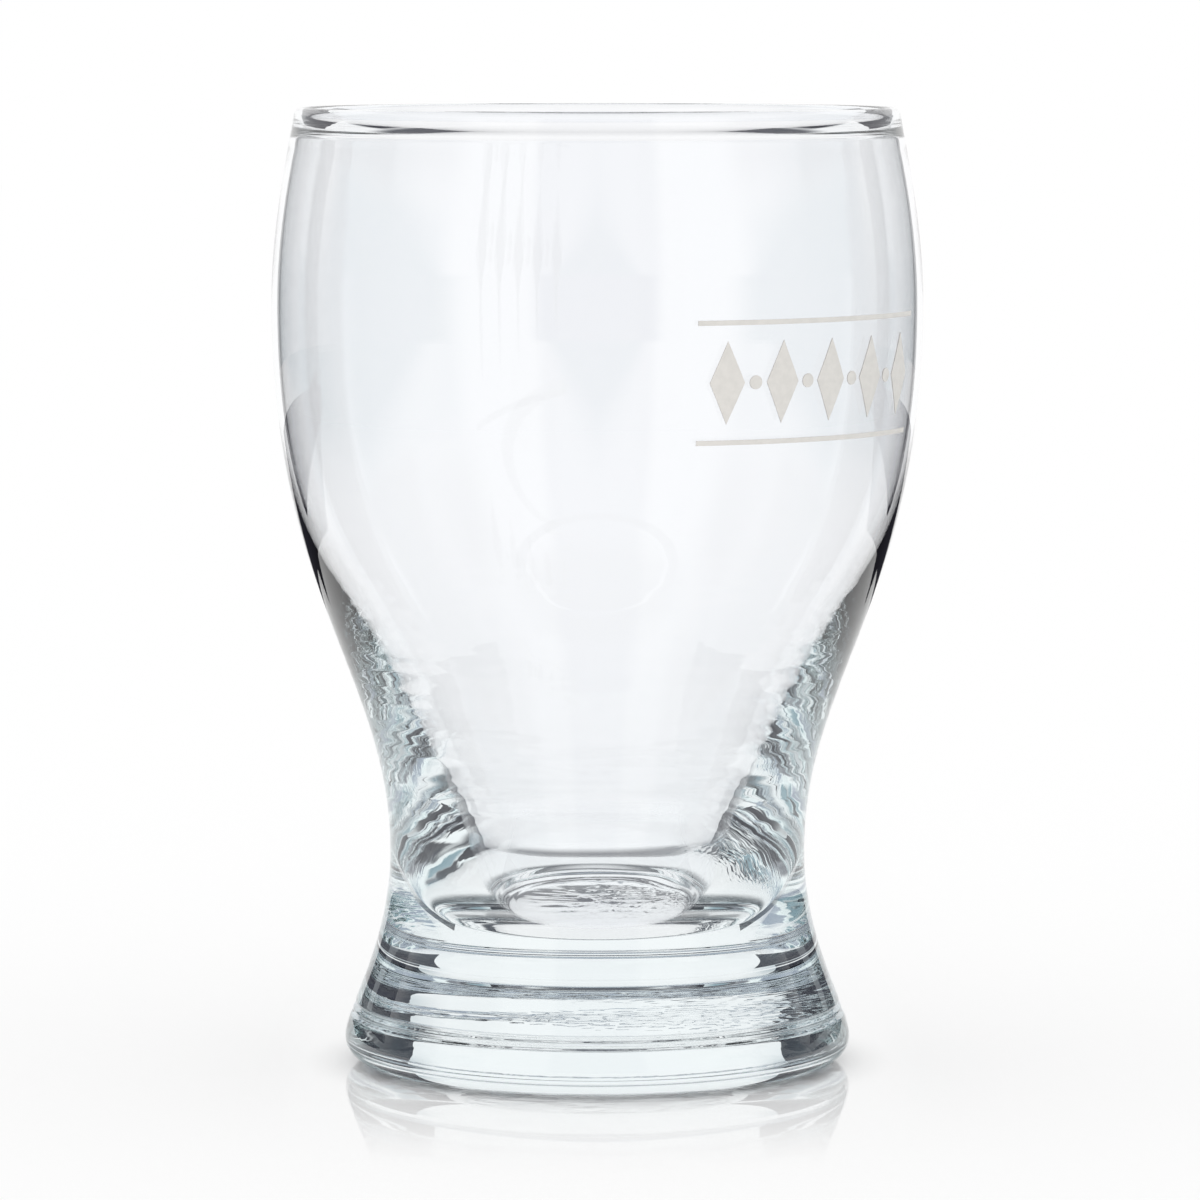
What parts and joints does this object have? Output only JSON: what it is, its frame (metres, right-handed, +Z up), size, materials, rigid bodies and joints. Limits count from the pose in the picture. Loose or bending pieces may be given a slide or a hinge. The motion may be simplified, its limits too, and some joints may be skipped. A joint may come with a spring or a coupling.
{
  "type": "tulip drinking glass",
  "caption": "Tulip-shaped clear drinking glass with a rounded rim, thin bowl, narrow waist and solid flared foot, with a pale enamel frieze on one side of the bowl.",
  "frame": {"origin": "centre of the foot's underside, on the surface that the glass stands on", "axes": "+Z up along the axis of the glass, -Y towards the viewer of the picture, +X to the right"},
  "size_m": [0.0816, 0.0816, 0.12],
  "materials": {
    "clear_glass": "clear soda-lime glass, fire-polished",
    "pale_enamel": "pale warm grey fired enamel, satin"
  },
  "bodies": {
    "root": {"glass_body": "clear_glass", "enamel_rule_upper": "pale_enamel", "enamel_rule_lower": "pale_enamel", "enamel_lozenge_1": "pale_enamel", "enamel_lozenge_2": "pale_enamel", "enamel_lozenge_3": "pale_enamel", "enamel_lozenge_4": "pale_enamel", "enamel_lozenge_5": "pale_enamel", "enamel_dot_1": "pale_enamel", "enamel_dot_2": "pale_enamel", "enamel_dot_3": "pale_enamel", "enamel_dot_4": "pale_enamel"}
  },
  "joints": []
}
